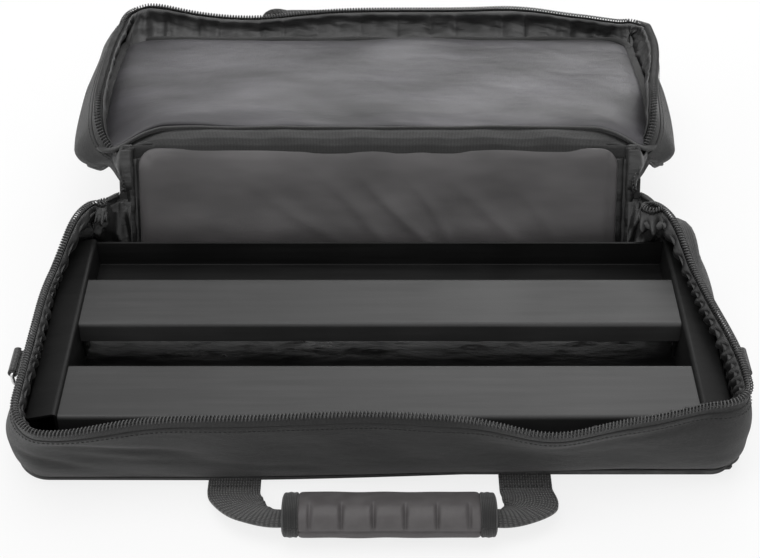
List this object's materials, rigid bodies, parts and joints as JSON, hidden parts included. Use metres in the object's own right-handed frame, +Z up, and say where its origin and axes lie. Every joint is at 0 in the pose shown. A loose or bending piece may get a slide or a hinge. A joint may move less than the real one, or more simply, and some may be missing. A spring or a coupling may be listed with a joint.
{
  "type": "guitar pedal case",
  "caption": "Padded zip case, open: board of slats in a soft tray, tipping back panel, folded-back lid, webbing handle with moulded grip.",
  "frame": {"origin": "middle of the tray's underside, on the surface it rests on", "axes": "+X along the width, +Y from the handle towards the back panel and the opened lid, +Z up"},
  "size_m": [0.5506, 0.6065, 0.1369],
  "materials": {
    "outer_fabric": "black woven nylon",
    "lining": "glossy black woven lining",
    "satin_lining": "grey satin lining",
    "pad_fabric": "coated grey-black fabric",
    "foam": "closed-cell foam",
    "webbing": "black polypropylene webbing",
    "binding_tape": "black woven tape",
    "zip_tape": "black woven tape",
    "zip_coil": "black nylon coil",
    "piping": "black plastic piping",
    "zip_metal": "black enamelled zinc",
    "ring_metal": "nickel plated",
    "grip_pad": "moulded foam rubber",
    "board_paint": "black powder coat",
    "screw_metal": "black screw",
    "foot_rubber": "black rubber"
  },
  "bodies": {
    "tray": {"tray_base_fabric": "outer_fabric", "tray_base_foam": "foam", "tray_floor_lining": "lining", "tray_gusset_fabric": "outer_fabric", "tray_gusset_foam": "foam", "tray_gusset_lining": "lining", "tray_zip_tape": "zip_tape", "tray_zip_coil": "zip_coil", "tray_seam_piping": "piping", "ring_tab_left": "webbing", "ring_tab_right": "webbing"},
    "back_panel": {"back_outer_fabric": "outer_fabric", "back_foam": "foam", "back_lining": "lining", "back_pad": "pad_fabric", "back_top_binding": "binding_tape", "zip_slider_left": "zip_metal", "zip_slider_right": "zip_metal", "zip_end_tab_left": "binding_tape", "zip_end_tab_right": "binding_tape"},
    "lid": {"lid_outer_panel": "outer_fabric", "lid_foam": "foam", "lid_panel_lining": "satin_lining", "lid_gusset_fabric": "outer_fabric", "lid_gusset_foam": "foam", "lid_gusset_lining": "lining", "lid_zip_tape": "zip_tape", "lid_zip_coil": "zip_coil", "lid_inner_binding": "binding_tape", "lid_seam_piping": "piping"},
    "lid_strap": {"lid_strap_webbing": "webbing"},
    "handle": {"handle_webbing": "webbing", "grip_core": "foam", "grip_pad": "grip_pad", "grip_binding_left": "binding_tape", "grip_binding_right": "binding_tape"},
    "ring_left": {"d_ring_left": "ring_metal"},
    "ring_right": {"d_ring_right": "ring_metal"},
    "pull_left": {"zip_pull_left": "zip_metal"},
    "pull_right": {"zip_pull_right": "zip_metal"},
    "pedalboard": {"board_side_left": "board_paint", "board_side_right": "board_paint", "board_slat_front": "board_paint", "board_slat_rear": "board_paint", "board_rear_rail": "board_paint", "slat_brackets": "board_paint", "bracket_screws": "screw_metal", "board_feet": "foot_rubber"}
  },
  "joints": [
    {"name": "back_panel_tilt", "type": "hinge", "parent": "tray", "child": "back_panel", "pos_m": [0, 0.12, 0], "axis": [1, 0, 0], "range_deg": [0, 27]},
    {"name": "lid_hinge", "type": "hinge", "parent": "back_panel", "child": "lid", "pos_m": [0, 0.16994, 0.09801], "axis": [1, 0, 0], "range_deg": [0, 162]},
    {"name": "lid_strap_swing", "type": "hinge", "parent": "lid", "child": "lid_strap", "pos_m": [0, 0.40982, 0.06812], "axis": [-1, 0, 0], "range_deg": [0, 78]},
    {"name": "handle_swing", "type": "hinge", "parent": "tray", "child": "handle", "pos_m": [0, -0.1247, 0.0016], "axis": [-1, 0, 0], "range_deg": [0, 50]},
    {"name": "ring_left_swing", "type": "hinge", "parent": "tray", "child": "ring_left", "pos_m": [-0.2717, -0.038, 0.046], "axis": [0, 1, 0], "range_deg": [0, 150]},
    {"name": "ring_right_swing", "type": "hinge", "parent": "tray", "child": "ring_right", "pos_m": [0.2717, -0.038, 0.046], "axis": [0, -1, 0], "range_deg": [0, 150]},
    {"name": "pull_left_swing", "type": "hinge", "parent": "back_panel", "child": "pull_left", "pos_m": [-0.2115, 0.15359, 0.06173], "axis": [0, -0.891, 0.454], "range_deg": [-90, 90]},
    {"name": "pull_right_swing", "type": "hinge", "parent": "back_panel", "child": "pull_right", "pos_m": [0.2115, 0.15359, 0.06173], "axis": [0, -0.891, 0.454], "range_deg": [-90, 90]},
    {"name": "board_lift", "type": "slide", "parent": "tray", "child": "pedalboard", "axis": [0, 0, 1], "range_m": [0, 0.042]}
  ],
  "couplings": [
    {"joint": "back_panel_tilt", "follows": "lid_hinge", "ratio": 0.16667}
  ]
}
